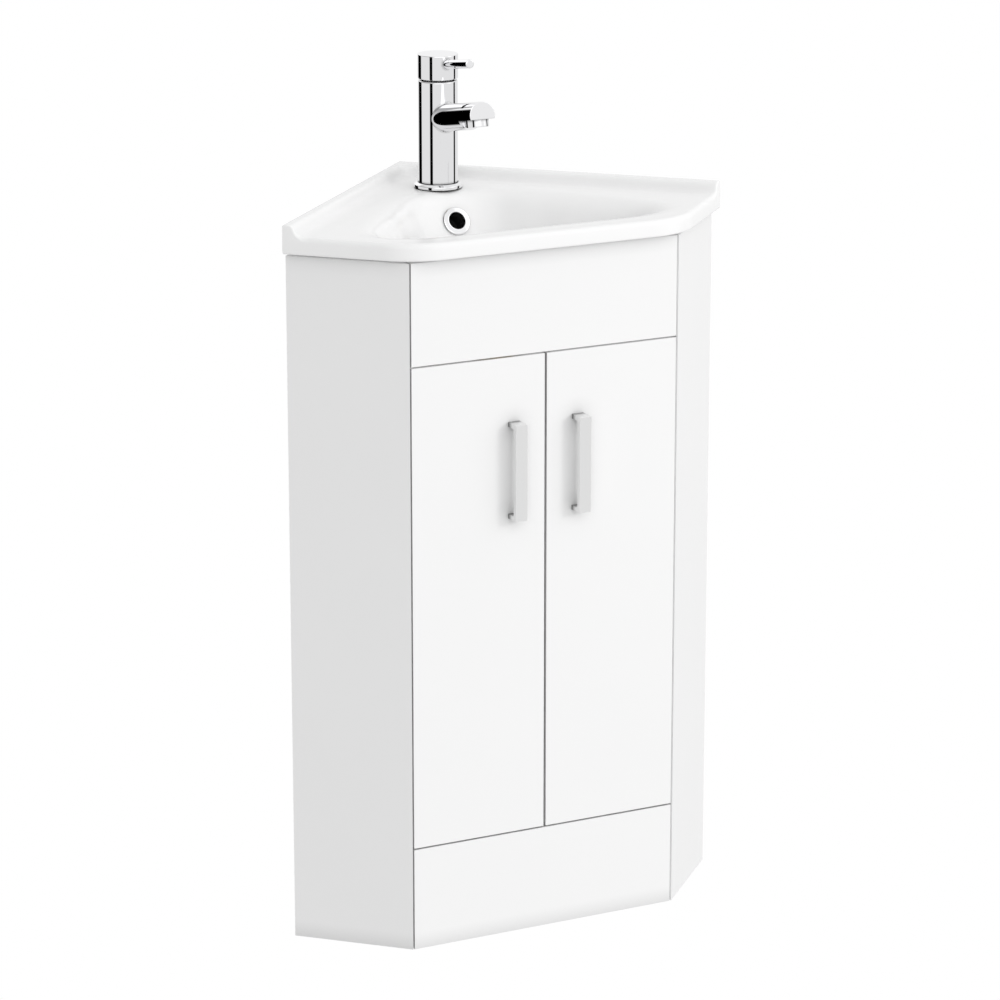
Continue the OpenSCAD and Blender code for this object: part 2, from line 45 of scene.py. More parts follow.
# ---- sizes shared with the CAD (millimetres, measured from the middle of the cabinet front at the floor)
CY = 180.899                     # front plane to the row frame's origin
YC = 381.798                     # wall corner
LEG = 555 / math.sqrt(2)
BLEG = LEG + 10
LIP, DECK, CREST = 823.2, 843.5, 857.0
BOWL = 741.0
BOSS = BOWL - 35
TAP_Y = 275.4
R2 = math.sqrt(2)


def P(x, y, z):
    return (x / 1000.0, (y - CY) / 1000.0, z / 1000.0)


# ---- camera: the photograph's angle and framing
cam_data = bpy.data.cameras.new("Camera")
cam_data.lens = 146.87
cam_data.sensor_width = 36.0
cam_data.clip_start, cam_data.clip_end = 0.1, 200
cam = bpy.data.objects.new("Camera", cam_data)
bpy.context.scene.collection.objects.link(cam)
right, up, back = Vector((0.88879, -0.45834, 0)), Vector((0.12303, 0.23857, 0.96333)), Vector((-0.44152, -0.85617, 0.26842))
m = Matrix.Identity(4)
for i in range(3):
    m[i][0], m[i][1], m[i][2] = right[i], up[i], back[i]
m.translation = Vector((-2.12748, -4.19167, 1.78942))
cam.matrix_world = m
bpy.context.scene.camera = cam


# ---- materials -------------------------------------------------------------
def material(name, base, rough, metal=0.0, var=0.0, var_scale=8.0, rough_var=0.0, rough_scale=120.0,
             bump=0.0, bump_scale=600.0, coat=0.0, coat_rough=0.05, spec=0.5, ior=1.5, stretch=None, painted_crease_shade=None):
    mt = bpy.data.materials.new(name)
    mt.use_nodes = True
    nt = mt.node_tree
    bs = nt.nodes["Principled BSDF"]
    bs.inputs["Base Color"].default_value = (*base, 1)
    bs.inputs["Roughness"].default_value = rough
    bs.inputs["Metallic"].default_value = metal
    bs.inputs["Specular IOR Level"].default_value = spec
    bs.inputs["IOR"].default_value = ior
    bs.inputs["Coat Weight"].default_value = coat
    bs.inputs["Coat Roughness"].default_value = coat_rough
    tc = nt.nodes.new("ShaderNodeTexCoord")
    mp = nt.nodes.new("ShaderNodeMapping")
    if stretch:
        mp.inputs["Scale"].default_value = stretch
    nt.links.new(tc.outputs["Object"], mp.inputs["Vector"])

    def noise(scale, detail=3.0):
        n = nt.nodes.new("ShaderNodeTexNoise")
        n.inputs["Scale"].default_value = scale
        n.inputs["Detail"].default_value = detail
        nt.links.new(mp.outputs["Vector"], n.inputs["Vector"])
        return n

    def ramp(src, a, b):
        r = nt.nodes.new("ShaderNodeMapRange")
        r.inputs["From Min"].default_value, r.inputs["From Max"].default_value = 0.25, 0.75
        r.inputs["To Min"].default_value, r.inputs["To Max"].default_value = a, b
        nt.links.new(src, r.inputs["Value"])
        return r.outputs["Result"]

    if var:
        n = noise(var_scale, 4)
        mix = nt.nodes.new("ShaderNodeMix")
        mix.data_type = "RGBA"
        lo_c = tuple(max(0, c * (1 - var)) for c in base)
        hi_c = tuple(min(1, c * (1 + var)) for c in base)
        mix.inputs[6].default_value, mix.inputs[7].default_value = (*lo_c, 1), (*hi_c, 1)
        nt.links.new(ramp(n.outputs["Fac"], 0, 1), mix.inputs[0])
        nt.links.new(mix.outputs[2], bs.inputs["Base Color"])
    if rough_var:
        n = noise(rough_scale)
        nt.links.new(ramp(n.outputs["Fac"], max(0, rough - rough_var), rough + rough_var), bs.inputs["Roughness"])
    if bump:
        n = noise(bump_scale, 2)
        b = nt.nodes.new("ShaderNodeBump")
        b.inputs["Strength"].default_value = bump
        b.inputs["Distance"].default_value = 0.0002
        nt.links.new(n.outputs["Fac"], b.inputs["Height"])
        nt.links.new(b.outputs["Normal"], bs.inputs["Normal"])
    if painted_crease_shade:
        # painted shade in tight corners, gaps and under overhangs: the base colour is multiplied down by an
        # ambient-occlusion mask (reach in metres, darkest level, exponent)
        reach_m, dark, power = painted_crease_shade
        ao = nt.nodes.new("ShaderNodeAmbientOcclusion")
        ao.inputs["Distance"].default_value = reach_m
        ao.samples = 8
        pw = nt.nodes.new("ShaderNodeMath")
        pw.operation = "POWER"
        pw.inputs[1].default_value = power
        nt.links.new(ao.outputs["AO"], pw.inputs[0])
        mr = nt.nodes.new("ShaderNodeMapRange")
        mr.inputs["To Min"].default_value, mr.inputs["To Max"].default_value = dark, 1.0
        nt.links.new(pw.outputs[0], mr.inputs["Value"])
        mul = nt.nodes.new("ShaderNodeMix")
        mul.data_type, mul.blend_type = "RGBA", "MULTIPLY"
        mul.inputs[0].default_value = 1.0
        src = bs.inputs["Base Color"]
        if src.is_linked:
            nt.links.new(src.links[0].from_socket, mul.inputs[6])
        else:
            mul.inputs[6].default_value = (*base, 1)
        nt.links.new(mr.outputs["Result"], mul.inputs[7])
        nt.links.new(mul.outputs[2], src)
    return mt


M = {
    # white lacquer: the last tuple paints shade into the colour in the door gaps, under the basin's lip and beside the
    # handles
    "white_lacquer": material("white_lacquer", (0.88, 0.88, 0.88), 0.32, var=0.004, rough_var=0.03, rough_scale=60, bump=0.03, bump_scale=700, coat=0.15, coat_rough=0.12, painted_crease_shade=(0.022, 0.66, 1.0)),
    # a copy of the white lacquer with almost no painted corner shade, so the surfaces that carry it read lighter
    "lacquer_weak_painted_shade": material("lacquer_weak_painted_shade", (0.88, 0.88, 0.88), 0.32, var=0.004, rough_var=0.03, rough_scale=60, bump=0.03, bump_scale=700, coat=0.15, coat_rough=0.12, painted_crease_shade=(0.002, 0.85, 1.0)),
    "white_board": material("white_board", (0.84, 0.84, 0.83), 0.5, var=0.01, rough_var=0.05, bump=0.05, bump_scale=500),
    "pine": material("pine", (0.70, 0.50, 0.28), 0.6, var=0.25, var_scale=14, stretch=(1, 1, 12), bump=0.3, bump_scale=60),
    "steel": material("steel", (0.66, 0.66, 0.67), 0.28, metal=1, rough_var=0.06, rough_scale=300, bump=0.05),
    # handle metal: the last tuple paints shade into the colour, darkening the feet next to the door down to black
    "satin_metal": material("satin_metal", (0.88, 0.88, 0.88), 0.26, metal=1, rough_var=0.01, rough_scale=160, stretch=(6, 6, 0.25), painted_crease_shade=(0.010, 0.0, 2.4)),
    "grey_plastic": material("grey_plastic", (0.32, 0.32, 0.33), 0.45, var=0.05, rough_var=0.05, bump=0.1),
    "white_plastic": material("white_plastic", (0.8, 0.8, 0.78), 0.4, var=0.02, rough_var=0.05),
    # basin glaze: the last tuple paints shade into the colour in the bowl's hollows and the upstand's corner
    "glazed_ceramic": material("glazed_ceramic", (0.895, 0.895, 0.895), 0.2, var=0.003, rough_var=0.02, rough_scale=30, bump=0.02, bump_scale=35, spec=0.14, painted_crease_shade=(0.03, 0.76, 1.0)),
    # chrome: the last tuple paints shade into the colour, darkening the metal to black in joints such as the column's
    # foot
    "chrome": material("chrome", (0.89, 0.89, 0.90), 0.03, metal=1, rough_var=0.008, rough_scale=90, painted_crease_shade=(0.0032, 0.0, 1.7)),
    "brass": material("brass", (0.72, 0.52, 0.22), 0.3, metal=1, var=0.05, rough_var=0.08, rough_scale=200),
    "rubber": material("rubber", (0.012, 0.012, 0.012), 0.8, var=0.1, rough_var=0.08, bump=0.15, spec=0.15),
}
SLOT = {s["node"]: s["material_slot"] for s in frame["record"]["subparts"]}


def paint(o, slot):
    me = o.data
    if len(me.materials) == 0:
        me.materials.append(M[slot])
    for i in range(len(me.materials)):
        me.materials[i] = M[slot]


for name, o in NODES.items():
    paint(o, SLOT[name])
    if SLOT[name] not in ("chrome", "steel", "brass", "rubber", "satin_metal") and not name.startswith("door_"):
        o.visible_glossy = False
    for s in o.material_slots:
        # the right side panel takes the lacquer copy with almost no painted shade, which makes the gap beside the
        # right door lighter
        s.material = M["lacquer_weak_painted_shade" if name == "side_panel_right" else SLOT[name]]


# ---- mesh helpers ------------------------------------------------------------
def add(name, verts, faces, slot, body, angle=35, replaces=()):
    """A mesh from millimetre points in the front plane frame."""
    me = bpy.data.meshes.new(name)
    me.from_pydata([P(*v) for v in verts], [], faces)
    me.update()
    bm = bmesh.new()
    bm.from_mesh(me)
    bmesh.ops.remove_doubles(bm, verts=bm.verts, dist=1e-7)
    bmesh.ops.recalc_face_normals(bm, faces=bm.faces)
    bm.to_mesh(me)
    bm.free()
    me.polygons.foreach_set("use_smooth", [True] * len(me.polygons))
    me.set_sharp_from_angle(angle=math.radians(angle))
    o = bpy.data.objects.new(name, me)
    bpy.context.scene.collection.objects.link(o)
    me.materials.append(M[slot])
    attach(o, body)
    if replaces:
        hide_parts(*replaces)
    return o


def loops(rows, close_rows=False, caps=False):
    """Quads between rows of points; each row is a closed ring with the same count."""
    n = len(rows[0])
    verts = [p for r in rows for p in r]
    faces = []
    k = len(rows)
    for j in range(k if close_rows else k - 1):
        a, b = j * n, ((j + 1) % k) * n
        for i in range(n):
            i2 = (i + 1) % n
            faces.append((a + i, a + i2, b + i2, b + i))
    if caps:
        faces.append(tuple(range(n - 1, -1, -1)))
        faces.append(tuple(range((k - 1) * n, k * n)))
    return verts, faces


def frame3(origin, axis, ref=(1, 0, 0)):
    z = Vector(axis).normalized()
    x = Vector(ref) - z * Vector(ref).dot(z)
    x.normalize()
    y = z.cross(x)
    o = Vector(origin)
    return lambda a, b, c: tuple(o + x * a + y * b + z * c)


def held(profile, ring, gap=0.6):
    """Extra points near the ends of the long stretches, which keep the shading true along them."""
    out = []
    n = len(profile)
    for i, (r, h) in enumerate(profile):
        out.append((r, h))
        if i == n - 1 and not ring:
            break
        r2, h2 = profile[(i + 1) % n]
        d = math.hypot(r2 - r, h2 - h)
        if d > 3 * gap:
            for k in (gap / d, 1 - gap / d):
                out.append((r + (r2 - r) * k, h + (h2 - h) * k))
    return out


def lathe(name, profile, slot, body, origin=(0, 0, 0), axis=(0, 0, 1), segs=96, ring=True, **kw):
    """profile is [(radius, height)]; ring closes it on itself, otherwise it starts and ends on the axis."""
    f = frame3(origin, axis)
    rows = []
    profile = held(profile, ring)
    for r, h in profile:
        rows.append([f(r * math.cos(2 * math.pi * i / segs), r * math.sin(2 * math.pi * i / segs), h) for i in range(segs)])
    v, fa = loops(rows, close_rows=ring)
    return add(name, v, fa, slot, body, **kw)


def arc(cx, cz, r, a0, a1, n=5):
    return [(cx + r * math.cos(math.radians(a0 + (a1 - a0) * i / n)), cz + r * math.sin(math.radians(a0 + (a1 - a0) * i / n))) for i in range(n + 1)]


def soften(node, width, segments=3, angle=40):
    """Rounded edges on a CAD node, by modifiers only."""
    o = NODES[node]
    b = o.modifiers.new("bevel", "BEVEL")
    b.width = width / 1000.0
    b.segments = segments
    b.limit_method = "ANGLE"
    b.angle_limit = math.radians(angle)
    b.harden_normals = True
    return o


# ---- basin -------------------------------------------------------------------
C0 = (0.0, YC - BLEG / R2)          # rays for the basin's sections start here, level with the wall ends
FR = 90.0                           # radius of the front corners
BX = 173.202 + 10 * R2 - 15         # sharp front corner
BT = FR * math.tan(math.radians(22.5))
N = 480
TH = [2 * math.pi * i / N for i in range(N)]


def edge(th, dw, ds, df):
    """Point of the outline on the ray th, moved in by dw from the walls, ds from the sides and df from the front."""
    dx, dy = math.cos(th), math.sin(th)
    planes = [((-1 / R2, 1 / R2), YC / R2 - dw), ((1 / R2, 1 / R2), YC / R2 - dw),
              ((-1 / R2, -1 / R2), (BLEG * R2 - YC) / R2 - ds), ((1 / R2, -1 / R2), (BLEG * R2 - YC) / R2 - ds),
              ((0, -1), 15 - df)]
    best = 1e9
    for (nx, ny), c in planes:
        s = nx * dx + ny * dy
        if s > 1e-9:
            best = min(best, (c - nx * C0[0] - ny * C0[1]) / s)
    if dy < 0:
        sg = 1 if dx > 0 else -1
        # centre of the rounding, tangent to the moved lines
        r = max(FR - (ds + df) / 2, 4.0)
        fy = -15 + df
        k = (BLEG * R2 - YC) / R2 - ds            # side line: (sg*x - y)/sqrt2 = k
        cy = fy + r
        cx = (k - r) * R2 + cy
        t1 = (cx, fy)
        t2 = (cx + r / R2, cy - r / R2)
        a = math.atan2(dy, abs(dx))
        a1 = math.atan2(t1[1] - C0[1], t1[0])
        a2 = math.atan2(t2[1] - C0[1], t2[0])
        if a1 < a < a2:
            ex, ey = abs(dx), dy
            ox, oy = -cx, C0[1] - cy
            bq = ox * ex + oy * ey
            cq = ox * ox + oy * oy - r * r
            best = -bq + math.sqrt(max(0, bq * bq - cq))
    return C0[0] + dx * best, C0[1] + dy * best


rim_pts = [(0, 19.5), (20, 19.5), (40, 19.5), (60, 19.5), (80, 19.5), (106, 19.7), (128, 21.2), (148, 24.5), (158, 28), (168, 33.5),
           (180, 43), (188, 55), (191, 66), (190, 77), (184, 90), (174, 104), (161, 122), (146, 142), (131, 162), (118, 180),
           (100, 202), (80, 222), (60, 236), (30, 246), (0, 248.5)]


def rim_polar():
    ang, rad = [], []
    for x, y in rim_pts:
        ang.append(math.atan2(y - C0[1], x))
        rad.append(math.hypot(x, y - C0[1]))
    order = sorted(range(len(ang)), key=lambda i: ang[i])
    a = np.array([ang[i] for i in order])
    r = np.array([rad[i] for i in order])
    fine = np.linspace(-math.pi / 2, math.pi / 2, 721)
    # the front is a straight edge, so interpolate its distance to the front line there and the radius elsewhere
    rr = np.interp(fine, a, r)
    full = np.concatenate([rr, rr[::-1][1:-1]])
    k = np.exp(-0.5 * (np.arange(-30, 31) / 9.0) ** 2)
    k /= k.sum()
    ext = np.concatenate([full[-60:], full, full[:60]])
    sm = np.convolve(ext, k, mode="same")[60:-60]
    half = sm[:721]
    # keep the straight front exact in its middle
    line = (C0[1] - 19.5) / np.maximum(1e-6, -np.sin(fine))
    w = np.clip((np.abs(np.cos(fine)) * line - 85) / 30, 0, 1)
    front = fine < -math.radians(30)
    half = np.where(front, line * (1 - w) + half * w, half)
    return fine, half


_fa, _fr = rim_polar()


def rim(th):
    a = math.atan2(math.sin(th), abs(math.cos(th)))
    return float(np.interp(a, _fa, _fr))


# bowl sections: (fraction of the rim's distance, height), front, side, back, and towards the walls
SEC_F = [(1.150, 843.50), (1.105, 843.38), (1.060, 843.02), (1.030, 842.55), (1.0, 841.8), (0.972, 840.6), (0.944, 838.8), (0.917, 836.0), (0.897, 832.6), (0.882, 828.6), (0.868, 823.0),
         (0.850, 814), (0.826, 800), (0.793, 782), (0.755, 767), (0.695, 755.5), (0.600, 747.8), (0.480, 743.6), (0.36, 741.8)]
SEC_S = [(1.100, 843.50), (1.072, 843.40), (1.046, 843.15), (1.022, 842.7), (1.0, 842.0), (0.978, 840.9), (0.957, 839.3), (0.936, 837.2), (0.914, 834.4), (0.893, 830.8), (0.872, 826.3),
         (0.846, 818.5), (0.810, 805), (0.768, 787), (0.722, 770), (0.664, 756.5), (0.587, 748.2), (0.490, 743.6), (0.37, 741.8)]
SEC_B = [(1.100, 843.50), (1.072, 843.40), (1.045, 843.10), (1.022, 842.6), (1.0, 841.6), (0.982, 840.2), (0.966, 838.0), (0.952, 835.3), (0.939, 831.9), (0.922, 827.0), (0.903, 821.5),
         (0.872, 812), (0.826, 798), (0.770, 781), (0.718, 766.5), (0.660, 755), (0.590, 747.6), (0.510, 743.4), (0.41, 741.8)]
SEC_W = [(1.120, 843.50), (1.085, 843.42), (1.055, 843.2), (1.030, 842.8), (1.005, 842.1), (0.982, 841.1), (0.960, 839.8), (0.938, 838.1), (0.915, 835.9), (0.892, 833.0), (0.870, 829.3),
         (0.842, 822.5), (0.806, 811), (0.764, 794), (0.718, 776), (0.660, 759), (0.585, 749.0), (0.490, 743.9), (0.38, 741.8)]


def smooth(x):
    x = min(1, max(0, x))
    return x * x * (3 - 2 * x)


def reach(th, s, s0):
    """Distance from C0 of a shoulder point: squeezed where the shoulder would run into the rounded edge."""
    r = rim(th)
    if s <= 1:
        return r * s
    ex, ey = edge(th, 21, 21, 21)
    top = math.hypot(ex - C0[0], ey - C0[1])
    full = r * s0
    if full <= top:
        return r * s
    return r + (s - 1) / (s0 - 1) * max(0.8, top - r)


def section(th, j):
    a = math.degrees(math.atan2(math.sin(th), abs(math.cos(th))))
    if a < 0:
        w = smooth((-a - 14) / 26)
        p, q = SEC_S[j], SEC_F[j]
    elif a < 45:
        w = smooth(a / 32)
        p, q = SEC_S[j], SEC_W[j]
    else:
        w = smooth((a - 50) / 30)
        p, q = SEC_W[j], SEC_B[j]
    return p[0] * (1 - w) + q[0] * w, p[1] * (1 - w) + q[1] * w


def basin():
    rows = []

    def off(dw, ds, df, z):
        rows.append([(*edge(t, dw, ds, df), z) for t in TH])

    def scaled(s, z):
        rows.append([(C0[0] + math.cos(t) * rim(t) * s, C0[1] + math.sin(t) * rim(t) * s, z) for t in TH])

    def round_(r, z):
        rows.append([(r * math.cos(t), 125 + r * math.sin(t), z) for t in TH])

    # foot that stands on the cabinet, lip underside and outer face
    off(17, 27, 32, 820)
    off(4, 14, 19, 820)
    off(4, 14, 19, LIP)
    for d, z in [(3.2, LIP), (1.6, LIP + 0.3), (0.6, LIP + 0.9), (0.1, LIP + 2.0), (0, LIP + 3.2), (0, 837.0), (0.12, 838.4), (0.5, 839.8), (1.2, 841.1),
                 (2.2, 842.2), (3.5, 843.0), (5.0, 843.4), (6.6, 843.5), (10, 843.5), (14, 843.5), (18, 843.5)]:
        off(d, d, d, z)
    # flat deck to the soft shoulder, then down the bowl
    deck = rows[-1]
    first = []
    for t in TH:
        s, z = section(t, 0)
        r = reach(t, s, s)
        first.append((C0[0] + math.cos(t) * r, C0[1] + math.sin(t) * r, z))
    for k in (0.25, 0.5, 0.75):
        rows.append([tuple(a * (1 - k) + b * k for a, b in zip(p, q)) for p, q in zip(deck, first)])
    rows.append(first)
    for j in range(1, len(SEC_F)):
        row = []
        for t in TH:
            s, z = section(t, j)
            r = reach(t, s, section(t, 0)[0])
            row.append((C0[0] + math.cos(t) * r, C0[1] + math.sin(t) * r, z))
        rows.append(row)
    # floor, morphing to the round waste hole
    last = rows[-1]
    ring = [(40 * math.cos(t), 125 + 40 * math.sin(t), BOWL) for t in TH]
    for k, z in ((0.35, 741.3), (0.7, 741.05)):
        rows.append([(p[0] * (1 - k) + q[0] * k, p[1] * (1 - k) + q[1] * k, z) for p, q in zip(last, ring)])
    rows.append(ring)
    round_(23.6, BOWL)
    round_(23.0, BOWL - 0.6)
    round_(23.0, BOSS)
    round_(35.5, BOSS)
    round_(36.0, BOSS + 0.6)
    round_(37.0, 724)
    for s, z in ((0.50, 732), (0.66, 740), (0.78, 752), (0.845, 768), (0.885, 788), (0.915, 806), (0.945, 817), (0.975, LIP)):
        scaled(s, z)
    v, f = loops(rows, close_rows=True)
    return v, f


def wall_pt(p, q, z, side):
    """p along the wall from the corner, q out from it; side -1 left, 1 right."""
    return (side * (p - q) / R2, YC - (p + q) / R2, z)


UP = [(0.05, 835.0), (0.05, 855.6), (0.35, 856.45), (1.1, 856.9), (2.2, 857.0), (7.6, 857.0), (9.3, 856.8), (10.8, 856.2), (12.1, 855.0), (13.2, 853.2),
      (14.2, 850.9), (15.2, 848.8), (16.4, 847.1), (18.0, 845.7), (20.2, 844.7), (23.0, 844.05), (26.5, 843.65), (31.0, 843.45), (31.0, 835.0)]


def upstands():
    """Both upstands in one sweep, with a rounded inner corner where they meet."""
    n = len(UP)
    nrm = []
    for i in range(n):
        a, b = UP[max(0, i - 1)], UP[min(n - 1, i + 1)]
        dx, dz = b[0] - a[0], b[1] - a[1]
        l = math.hypot(dx, dz) or 1
        nrm.append((dz / l, -dx / l))
    R = 46.0
    cy = YC - R * R2

    LIP_ROUND = [(0, 6.5), (0.12, 5.1), (0.5, 3.7), (1.2, 2.4), (2.2, 1.3), (3.5, 0.5), (5.0, 0.1), (6.6, 0)]

    def straight(d, drop, side):
        """Section at the distance d from the free end: the crest is rounded over, the foot follows the lip."""
        k = 2.2 - math.sqrt(2.2 ** 2 - (2.2 - d) ** 2) if d < 2.2 else 0
        row = []
        for i, (t, z) in enumerate(UP):
            w = smooth((t - 14) / 13)
            kk = k * (1 - w) if 1 < i < n - 2 else 0
            row.append(wall_pt(BLEG - d, max(0.05, t + nrm[i][0] * kk), z + nrm[i][1] * kk - (drop * w if i < n - 1 else 0), side))
        return row

    ends = LIP_ROUND + [(9.0, 0), (170, 0), (BLEG - 60, 0)]
    rows = [straight(p, k, 1) for p, k in ends]
    for i in range(41):
        th = math.radians(45 + 90 * i / 40)
        wall = R / math.cos(th - math.radians(45)) if th <= math.pi / 2 else R / math.cos(math.radians(135) - th)
        row = []
        for t, z in UP:
            k = smooth((t - 2.2) / 7.0)
            d = (wall - t) * (1 - k) + (R - t) * k
            row.append((d * math.cos(th), cy + d * math.sin(th), z))
        rows.append(row)
    rows += [straight(p, k, -1) for p, k in reversed(ends)]
    return loops(rows, caps=True)


bv, bf = basin()
basin_o = add("basin_glaze", bv, bf, "glazed_ceramic", "cabinet", angle=60, replaces=("basin",))


def helper(name, v, f):
    me = bpy.data.meshes.new(name)
    me.from_pydata([P(*q) for q in v], [], f)
    bm = bmesh.new()
    bm.from_mesh(me)
    bmesh.ops.recalc_face_normals(bm, faces=bm.faces)
    bm.to_mesh(me)
    bm.free()
    o = bpy.data.objects.new(name, me)
    bpy.context.scene.collection.objects.link(o)
    return o


def tube(r, origin, axis, a, b, segs=64):
    f = frame3(origin, axis)
    rows = [[f(r * math.cos(2 * math.pi * i / segs), r * math.sin(2 * math.pi * i / segs), h) for i in range(segs)] for h in (a, b)]
    return loops(rows, caps=True)


def boolean(o, others, op):
    for h in others:
        md = o.modifiers.new("b", "BOOLEAN")
        md.operation = op
        md.solver = "EXACT"
        md.object = h
    dg = bpy.context.evaluated_depsgraph_get()
    me = bpy.data.meshes.new_from_object(o.evaluated_get(dg))
    o.modifiers.clear()
    o.data = me
    for h in others:
        bpy.data.objects.remove(h, do_unlink=True)


FLOW_K = 24 / 43.5
FLOW_TILT = math.atan(FLOW_K)
FLOW = (0, 125 + 120 - 32.5 * FLOW_K, DECK - 32.5)
FLOW_AX = (0, -math.cos(FLOW_TILT), math.sin(FLOW_TILT))
duct = helper("duct", *loops([[(-24, 238, LIP + 0.5), (24, 238, LIP + 0.5), (24, 250, LIP + 0.5), (-24, 250, LIP + 0.5)],
                              [(-24, 181, BOSS + 0.5), (24, 181, BOSS + 0.5), (24, 206, BOSS + 0.5), (-24, 206, BOSS + 0.5)]], caps=True))
boolean(basin_o, [helper("up", *upstands()), duct], "UNION")
boolean(basin_o, [helper("flow_cut", *tube(11.6, FLOW, FLOW_AX, -24, 14)), helper("tap_cut", *tube(17.5, (0, TAP_Y, 0), (0, 0, 1), LIP - 5, DECK + 5))], "DIFFERENCE")
basin_o.visible_glossy = False          # so that the metal shows the studio's bands down to its foot
basin_o.data.polygons.foreach_set("use_smooth", [True] * len(basin_o.data.polygons))
basin_o.data.set_sharp_from_angle(angle=math.radians(50))

# ---- overflow ring, waste ----------------------------------------------------
lathe("overflow_trim", [(10.4, -9), (11.5, -9), (11.5, -0.6), (16.3, -0.6), (16.7, -0.4), (16.8, 0.0), (16.8, 1.2), (16.65, 1.6), (16.2, 1.85), (11.4, 2.3), (10.75, 2.15), (10.45, 1.7)],
      "chrome", "cabinet", origin=FLOW, axis=FLOW_AX, segs=72, replaces=("overflow_ring",))
# a black cup lining the overflow hole: painted shade, so that the hole reads dark as a deep opening would
lathe("overflow_shade_cup", [(0, -23.4), (11.5, -23.4), (11.5, -9.2), (10.5, -9.2), (10.5, -22.4), (0, -22.4)], "rubber", "cabinet", origin=FLOW, axis=FLOW_AX, segs=72, ring=False)
lathe("waste_rim", [(20.95, -2), (22.5, -2), (22.5, 1), (31.4, 1.0), (31.9, 1.4), (31.6, 2.2), (30, 3.1), (27.5, 3.8), (25, 4.0), (23, 3.6), (21.4, 2.4), (20.95, 1.2)],
      "chrome", "cabinet", origin=(0, 125, BOWL), segs=96, replaces=("waste_flange",))
lathe("plug_dome", [(0, 8.6), (8, 8.5), (15, 8.1), (20, 7.5), (24, 6.7), (26.2, 6.0), (26.9, 5.3), (26.6, 4.6), (25.5, 4.3), (4.0, 4.3), (4.0, -56.8), (3.6, -57.2), (0, -57.2)],
      "chrome", "plug", origin=(0, 125, BOWL), segs=96, ring=False, replaces=("waste_plug",))

# ---- tap ---------------------------------------------------------------------
T0 = (0, TAP_Y, 0)
TAP_R, CAP_R = 23.5, 24.0
BODY_TOP = DECK + 129.4
CAP_LO, CAP_HI = BODY_TOP + 2.2, DECK + 160.5
# a thin black ring under the tap's base: painted shade, drawing the dark contact line where the base meets the deck
lathe("base_shade_band", [(19.5, 843.5), (28.45, 843.5), (28.7, 843.65), (28.7, 844.5), (19.5, 844.5)], "rubber", "cabinet", origin=T0, segs=128)
# a thin black ring round the column's foot: painted shade, drawing the dark line in the joint above the base
lathe("column_shade_band", [(23.2, 850.35), (23.75, 850.4), (23.9, 850.6), (23.85, 850.85), (23.2, 850.95)], "rubber", "cabinet", origin=T0, segs=128)
lathe("tap_base", [(19.5, 844.4), (28.7, 844.4), (28.95, 844.55), (29.1, 844.9), (29.1, 847.6), (28.95, 848.1), (27.0, 850.0), (26.4, 850.4), (25.7, 850.5), (19.5, 850.5)],
      "chrome", "cabinet", origin=T0, segs=128, replaces=("tap_flange",))
lathe("tap_column", [(18, 845), (TAP_R, 845), (TAP_R, BODY_TOP - 1.3), (TAP_R - 0.15, BODY_TOP - 0.9), (TAP_R - 1.0, BODY_TOP - 0.05), (TAP_R - 1.3, BODY_TOP), (18, BODY_TOP)],
      "chrome", "cabinet", origin=T0, segs=160, replaces=("tap_body",))

# spout: a round tube that rises out of the column with a small fillet, flat under its end
SP_R, SP_LEN, SP_RISE, SP_FLAT = 16.1, 116.5, math.radians(10.7), 4.5
SP_L = SP_LEN / math.cos(SP_RISE)
SP_AX = Vector((0, -math.cos(SP_RISE), math.sin(SP_RISE)))
SP_UP = Vector((0, math.sin(SP_RISE), math.cos(SP_RISE)))
SP_O = Vector((0, TAP_Y, DECK + 104.9 - SP_LEN * math.tan(SP_RISE)))
SP_C = math.asin(SP_FLAT / SP_R)


def ring_angles(n_low, n_high):
    """Angles round the tube with a point exactly on both edges of the flat."""
    lo_a = [math.pi + SP_C + (math.pi - 2 * SP_C) * i / n_low for i in range(n_low)]
    hi_a = [-SP_C + (math.pi + 2 * SP_C) * i / n_high for i in range(n_high)]
    return hi_a + lo_a


def spout():
    ang = ring_angles(56, 72)
    X = Vector((1, 0, 0))
    rho = 1.6
    rows = [[], [], []]
    fillet = [[] for _ in range(7)]
    for a in ang:
        d = X * math.cos(a) + SP_UP * math.sin(a)
        lo_w, hi_w = 0.0, 60.0
        for _ in range(50):
            w = (lo_w + hi_w) / 2
            c = SP_O + SP_AX * w + d * (SP_R + rho)
            if math.hypot(c.x, c.y - TAP_Y) < TAP_R + rho:
                lo_w = w
            else:
                hi_w = w
        h = Vector((c.x, c.y - TAP_Y, 0)).normalized()
        u, v = -h, -d
        g = u.angle(v)
        for i in range(7):
            k = i / 6
            q = (u * math.sin((1 - k) * g) + v * math.sin(k * g)) / math.sin(g)
            fillet[i].append(tuple(c + q * rho))
        t = c - h * rho
        rows[0].append(tuple(t - h * 3.0))
        rows[1].append(tuple(t - h * 0.9))
        rows[2].append(tuple(t - h * 0.02))
    rows = rows[:2] + fillet
    last = [Vector(q) for q in fillet[-1]]

    def at(w, k=0.0, flat=True):
        row = []
        for a in ang:
            x, y = (SP_R - k) * math.cos(a), (SP_R - k) * math.sin(a)
            if flat:
                y = max(y, -SP_FLAT + k)
            row.append(tuple(SP_O + SP_AX * w + X * x + SP_UP * y))
        return row

    w0 = SP_L - 32.4
    start = max((q - SP_O).dot(SP_AX) for q in last)
    # the stretch beside the fillet follows it, so the tube's shading stays true
    rows.append([tuple(q + SP_AX * 0.5) for q in last])
    for w in (start + 2, (start + w0) / 2, w0 - 0.6, w0):
        rows.append(at(w, flat=False))
    for w, k in [(w0, 0), (w0 + 0.6, 0), (SP_L - 1.2, 0), (SP_L - 0.5, 0), (SP_L - 0.2, 0.08), (SP_L - 0.06, 0.25), (SP_L, 0.5), (SP_L, 1.2)]:
        rows.append(at(w, k))
    return loops(rows, caps=True)


